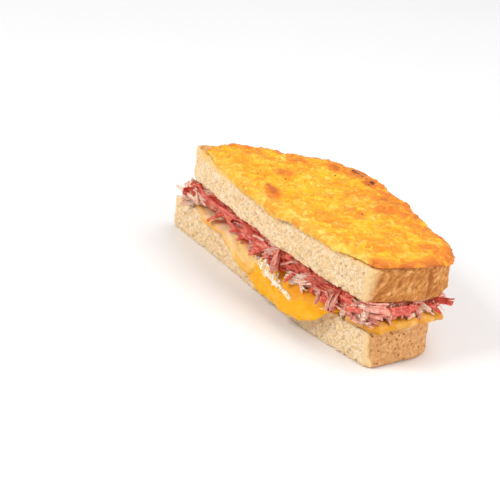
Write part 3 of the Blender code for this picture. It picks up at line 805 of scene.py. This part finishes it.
# Tongues of meat that hang over the cheese: the corners of each, and its half width.
TONGUES = (
    (((97.0, 2.0, 22.0), (100.0, -3.5, 20.8), (102.8, -7.0, 19.2), (104.4, -8.0, 17.8)), 0.9),
    (((100.0, 1.0, 22.4), (103.5, -4.0, 20.8), (105.2, -6.4, 19.4), (106.0, -7.0, 18.4)), 1.2),
    (((60.0, 1.0, 23.4), (60.5, -5.0, 22.4), (58.5, -8.4, 20.8), (55.5, -9.6, 19.2)), 1.2),
    (((64.0, 0.0, 23.6), (68.0, -5.5, 22.4), (71.0, -8.4, 20.8), (72.0, -9.6, 19.4)), 1.9),
    (((116.0, 26.0, 21.5), (121.0, 29.0, 22.0), (124.5, 31.5, 22.6), (126.0, 33.0, 22.4)), 1.5),
)
for corners, half in TONGUES:
    line = [spot(*corner) for corner in corners]
    finer = []
    for first, second in zip(line, line[1:]):
        finer += [first.lerp(second, share / 3.0) for share in range(3)]
    ahead = (line[-1] - line[0]).normalized()
    chunks.append((
        keep_clear(finer + line[-1:], (0.3 * half + 0.1) * MM), half * MM,
        Vector((ahead.y, -ahead.x, 0.0)).normalized(),
    ))
FIBRES_A_CHUNK = 7
flakes = []
strands = []
for line, half, outward in chunks:
    shade = shade_of(draw, line)
    flakes.append((line, 0.85 * half, shade))
    parted = pulled_apart(draw, line, half, outward, FIBRES_A_CHUNK)
    strands += [(*fibre, shade) for fibre in parted]
loose = [plan for row in LOOSE for plan in plan_shreds(draw, *row)]
fibres = [(line, half, shade_of(draw, line)) for line, half, outward in loose]
# Three tones of one ham, partly its own tone at random: the lean one is also painted shade under the
# bread, the pale one painted light lower down.
ham_finishes = [
    ham_finish("lean_ham_painted_shade", True, (0.5, 0.03, 0.022), (0.78, 0.13, 0.075), (0.93, 0.38, 0.25)),
    ham_finish("rosy_ham", True, (0.72, 0.18, 0.13), (0.91, 0.43, 0.33), (0.98, 0.68, 0.56)),
    ham_finish("pale_ham_painted_light", True, (0.94, 0.47, 0.34), (0.98, 0.67, 0.51), (1.0, 0.84, 0.71)),
]
# Each row: the piece, its shreds, how many ridges one has, and how flat it is.
HAM_PIECES = (
    ("ham_flakes", flakes, 6, 0.2),
    ("ham_strands", strands, 2, 0.6),
    ("ham_fibres", fibres, 2, 0.6),
)
for name, plans, ridges, flatness in HAM_PIECES:
    meat = shreds(name, draw, plans, ridges, flatness, ham_finishes)
    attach(meat, "root")

# Melted cheese topping.
# Grated cheese strewn over the upper slice and grilled until it ran together. Ridges of its
# strands still show, and the heat browned its rim and charred a few places at the far side.

topping = remeshed("cheese_topping", "cheese_topping_melt", 0.5 * MM, 3)
GRATED_STRANDS = 430
draw = random.Random(5)
grated = []
for number in range(GRATED_STRANDS):
    middle = np.array((draw.uniform(-2.0, 124.0), draw.uniform(-3.0, 54.0)))
    turn = draw.gauss(0.25, 0.9)
    half = 0.5 * draw.uniform(4.0, 13.0) * np.array((math.cos(turn), math.sin(turn)))
    grated.append((middle - half, middle + half, draw.uniform(0.55, 1.15), draw.uniform(0.25, 0.75)))
# Browned places: x, y and how wide in millimetres, and how dark.
BROWNED = (
    (46.0, 4.5, 2.2, 1.0), (49.5, 3.0, 2.8, 1.05), (52.8, 1.2, 2.6, 1.0), (55.5, -1.0, 2.0, 0.9),
    (44.6, 46.0, 5.0, 0.8), (54.7, 46.0, 4.5, 0.8), (71.3, 45.0, 8.0, 0.75),
    (84.5, 44.0, 7.0, 0.75), (112.9, 30.5, 4.5, 0.9), (38.1, 42.5, 5.0, 0.8), (27.0, 30.5, 5.0, 0.7),
    (36.0, 17.0, 4.5, 0.7), (78.0, 21.5, 4.0, 0.7), (78.0, 36.0, 7.0, 0.6), (77.0, 8.0, 5.0, 0.45),
    (99.0, 38.0, 6.0, 0.6), (14.0, 17.0, 5.0, 0.6), (107.0, 16.0, 5.0, 0.35), (62.0, 33.0, 6.0, 0.4),
)
# Charred places: x, y and how wide in millimetres.
CHARRED = (
    (44.6, 47.6, 1.8), (47.8, 47.4, 1.1), (42.6, 47.0, 0.9), (55.6, 46.8, 1.5), (51.5, 46.5, 0.8),
)
top_points = read_points(topping.data, "co")
top_facings = read_points(topping.data, "normal")
flat_places = (top_points - np.array(TIP))[:, :2] / MM
ridge = np.zeros(len(top_points))
for first, second, radius, height in grated:
    along = second - first
    share = np.clip((flat_places - first) @ along / (along @ along), 0.0, 1.0)
    gap = np.linalg.norm(flat_places - first - share[:, None] * along, axis=1)
    ridge = np.maximum(ridge, height * np.exp(-(gap / radius) ** 2))
browned = np.zeros(len(top_points))
for x, y, wide, dark in BROWNED:
    away = np.hypot((flat_places[:, 0] - x) / 1.4, flat_places[:, 1] - y)
    browned = np.maximum(browned, dark * np.exp(-(away / wide) ** 2))
charred = np.zeros(len(top_points))
for x, y, wide in CHARRED:
    away = np.hypot(flat_places[:, 0] - x, flat_places[:, 1] - y)
    charred = np.maximum(charred, np.exp(-(away / wide) ** 2))
crust_side = slice_side("bread_top", False)
slice_cut = slice_side("bread_top", True)
rim_gap = np.array([crust_side.find_nearest(Vector(point))[3] / MM for point in top_points])
browned = np.maximum(browned, np.exp(-(rim_gap / 4.5) ** 2))
swell = np.array([noise.noise(Vector(point) / MM / 6.5) for point in top_points])
knobs = np.array([noise.noise(Vector(point) / MM / 1.9) for point in top_points])
blister = np.array([pores(Vector(point) / MM, 2.4, 0.3, 4.0) for point in top_points])
upward = np.clip(top_facings[:, 2] * 1.5, 0.0, 1.0)
lift = upward * (0.95 * ridge + 0.5 * swell + 0.45 * knobs + 0.3 * blister - 0.35)
write_points(topping.data, top_points + top_facings * (lift * MM)[:, None])
store(topping.data, "browned", browned)
store(topping.data, "charred", charred)
store(topping.data, "ridge", ridge + 0.45 * knobs)
rim_band = np.array([slice_cut.find_nearest(Vector(point))[3] / MM for point in top_points])
store(topping.data, "rim", np.exp(-(rim_band / 3.5) ** 2))

melt = Finish(
    "melted_topping", 0.32, Subsurface_Weight=0.2, Subsurface_Radius=(1.0, 0.45, 0.1),
    Subsurface_Scale=0.0015, Specular_IOR_Level=0.2, Coat_Weight=0.08, Coat_Roughness=0.08,
)
broad = melt.speckle(7.0 * MM, 3.0, distortion=0.8)
patchy = melt.speckle(2.6 * MM, 4.0, 0.62, 0.5)
fine = melt.speckle(1.0 * MM, 3.0, 0.65)
grit = melt.speckle(0.75 * MM, 2.0, 0.5, where=melt.stretched((1.0, 1.0, 1.0), (0.5, 0.3, 1.1)))
strewn = melt.stored("ridge")
gold = melt.mix(melt.ramp(broad, 0.4, 0.58), (0.79, 0.28, 0.004), (0.84, 0.46, 0.006))
# Noise for yellow patches of the cheese and for painted glints.
patches_and_glints = melt.speckle(4.2 * MM, 3.0, 0.5, 1.2)
gold = melt.lay(gold, patches_and_glints, 0.54, 0.62, 0.8, (0.88, 0.6, 0.05))
# Painted shade between the grated strands and painted light on their ridges.
gold = melt.lay(gold, strewn, 0.28, -0.05, 0.5, (0.8, 0.28, 0.01))
gold = melt.lay(gold, strewn, 0.35, 0.7, 0.55, (0.87, 0.55, 0.03))
gold = melt.lay(gold, patchy, 0.52, 0.64, 0.5, (0.87, 0.55, 0.03))
gold = melt.lay(gold, patchy, 0.46, 0.36, 0.5, (0.82, 0.27, 0.012))
gold = melt.lay(gold, fine, 0.57, 0.68, 0.6, (0.93, 0.7, 0.2))
gold = melt.lay(gold, grit, 0.42, 0.3, 0.5, (0.7, 0.2, 0.02))
# A few painted glints.
gold = melt.lay(gold, patches_and_glints, 0.62, 0.7, 0.3, (0.93, 0.74, 0.3))
# A painted highlight along the rim over the cut.
rim_painted_highlight = melt.product(melt.stored("rim"), melt.ramp(patches_and_glints, 0.48, 0.58, 0.25, 0.9))
gold = melt.mix(rim_painted_highlight, gold, (0.95, 0.66, 0.13))
scorch = melt.speckle(5.0 * MM, 4.0, 0.6, 0.8)
toast = melt.product(melt.stored("browned"), melt.ramp(scorch, 0.36, 0.56, 0.3, 1.6))
gold = melt.lay(gold, toast, 0.15, 0.7, 0.9, (0.77, 0.21, 0.018))
gold = melt.lay(gold, toast, 0.75, 1.25, 0.75, (0.5, 0.12, 0.02))
char = melt.product(melt.stored("charred"), melt.ramp(fine, 0.38, 0.55, 0.6, 1.2))
gold = melt.lay(gold, char, 0.35, 0.7, 0.95, (0.13, 0.025, 0.012))
melt.color(gold)
melt.roughen(melt.ramp(patchy, 0.3, 0.7, 0.5, 0.2))
melt.bump(patchy, 0.6 * MM, 0.8)
melt.bump(fine, 0.3 * MM, 0.8)
dress(topping, melt.material, "cheese_topping")

# Ground pepper.
# A few coarse flecks of black pepper that stuck in the melted cheese.

topping_top = surface_of([topping.data])
# Where each fleck lies, and its size across, in millimetres.
PEPPER = (
    (33.8, 6.8, 0.7), (42.4, 14.1, 1.15), (44.9, 15.6, 0.6), (73.9, 9.7, 0.6), (44.9, 36.4, 1.0),
    (46.8, 36.9, 0.6), (103.6, 7.4, 0.5), (79.1, 24.0, 0.75), (55.9, 45.0, 0.8), (68.5, 41.8, 0.6),
    (101.5, -1.6, 0.5), (88.0, 30.0, 0.5), (57.0, 26.5, 0.45),
)
draw = random.Random(3)
grains = []
for x, y, size in PEPPER:
    above = spot(x, y, 60.0)
    hit = topping_top.ray_cast(above, Vector((0.0, 0.0, -1.0)))[0]
    bpy.ops.mesh.primitive_ico_sphere_add(
        subdivisions=1, radius=0.5 * size * MM, location=hit,
        rotation=[draw.uniform(0.0, 3.0) for axis in range(3)], scale=(1.0, 0.7, 0.5),
    )
    grains.append(bpy.context.object)
pepper = joined(grains, "pepper_flecks")
pepper_finish = Finish("ground_pepper", 0.6)
pepper_speckle = pepper_finish.ramp(pepper_finish.speckle(0.3 * MM), 0.4, 0.6)
pepper_finish.color(pepper_finish.mix(pepper_speckle, (0.02, 0.014, 0.01), (0.09, 0.05, 0.03)))
pepper.data.materials.append(pepper_finish.material)
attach(pepper, "root")

# Floor, light and camera.
# A plain pale table top under soft studio light, seen as the photograph sees the melt.

bpy.ops.mesh.primitive_plane_add(size=6.0, location=(0.0, 0.0, 0.0))
floor = bpy.context.object
floor.name = "table_top"
floor_finish = Finish("pale_table_top", 0.7)
floor_speckle = floor_finish.ramp(floor_finish.speckle(0.3), 0.3, 0.7)
floor_finish.color(floor_finish.mix(floor_speckle, (0.87, 0.87, 0.88), (0.89, 0.89, 0.9)))
floor.data.materials.append(floor_finish.material)

world = bpy.data.worlds.new("studio")
bpy.context.scene.world = world
world.use_nodes = True
world.node_tree.nodes["Background"].inputs["Color"].default_value = (1.0, 1.0, 1.0, 1.0)
world.node_tree.nodes["Background"].inputs["Strength"].default_value = 0.47
MIDDLE = Vector((0.0, 0.0, 0.02))


def softbox(name, place, size, watts, color):
    """A square soft light at a place, turned towards the melt's middle."""
    light = bpy.data.lights.new(name, "AREA")
    light.shape = "SQUARE"
    light.size = size
    light.energy = watts
    light.color = color
    box = bpy.data.objects.new(name, light)
    box.location = place
    towards = MIDDLE - Vector(place)
    box.rotation_euler = towards.to_track_quat("-Z", "Y").to_euler()
    bpy.context.collection.objects.link(box)


softbox("key_light", (-0.25, -0.75, 0.75), 0.45, 5.8, (1.0, 0.985, 0.97))
softbox("top_light", (0.15, 0.35, 1.0), 0.7, 5.2, (1.0, 0.99, 0.975))
softbox("side_light", (0.9, 0.25, 0.4), 0.5, 3.8, (1.0, 0.98, 0.95))

camera = bpy.data.cameras.new("camera")
camera.sensor_width = 36.0
camera.lens = 129.6
camera.clip_start = 0.01
viewer = bpy.data.objects.new("camera", camera)
# Where the camera stands, the way it faces round the melt, how far it looks down, and its roll.
STANDPOINT = spot(558.3, -373.2, 312.8)
HEADING = math.radians(144.096)
DOWNWARD = math.radians(25.196)
ROLL = math.radians(5.435)
turned = Matrix.Rotation(HEADING - math.pi / 2.0, 4, "Z")
tipped = Matrix.Rotation(math.pi / 2.0 - DOWNWARD, 4, "X")
rolled = Matrix.Rotation(ROLL, 4, "Z")
viewer.matrix_world = Matrix.Translation(STANDPOINT) @ turned @ tipped @ rolled
bpy.context.collection.objects.link(viewer)
bpy.context.scene.camera = viewer
bpy.context.scene.view_settings.view_transform = "Standard"
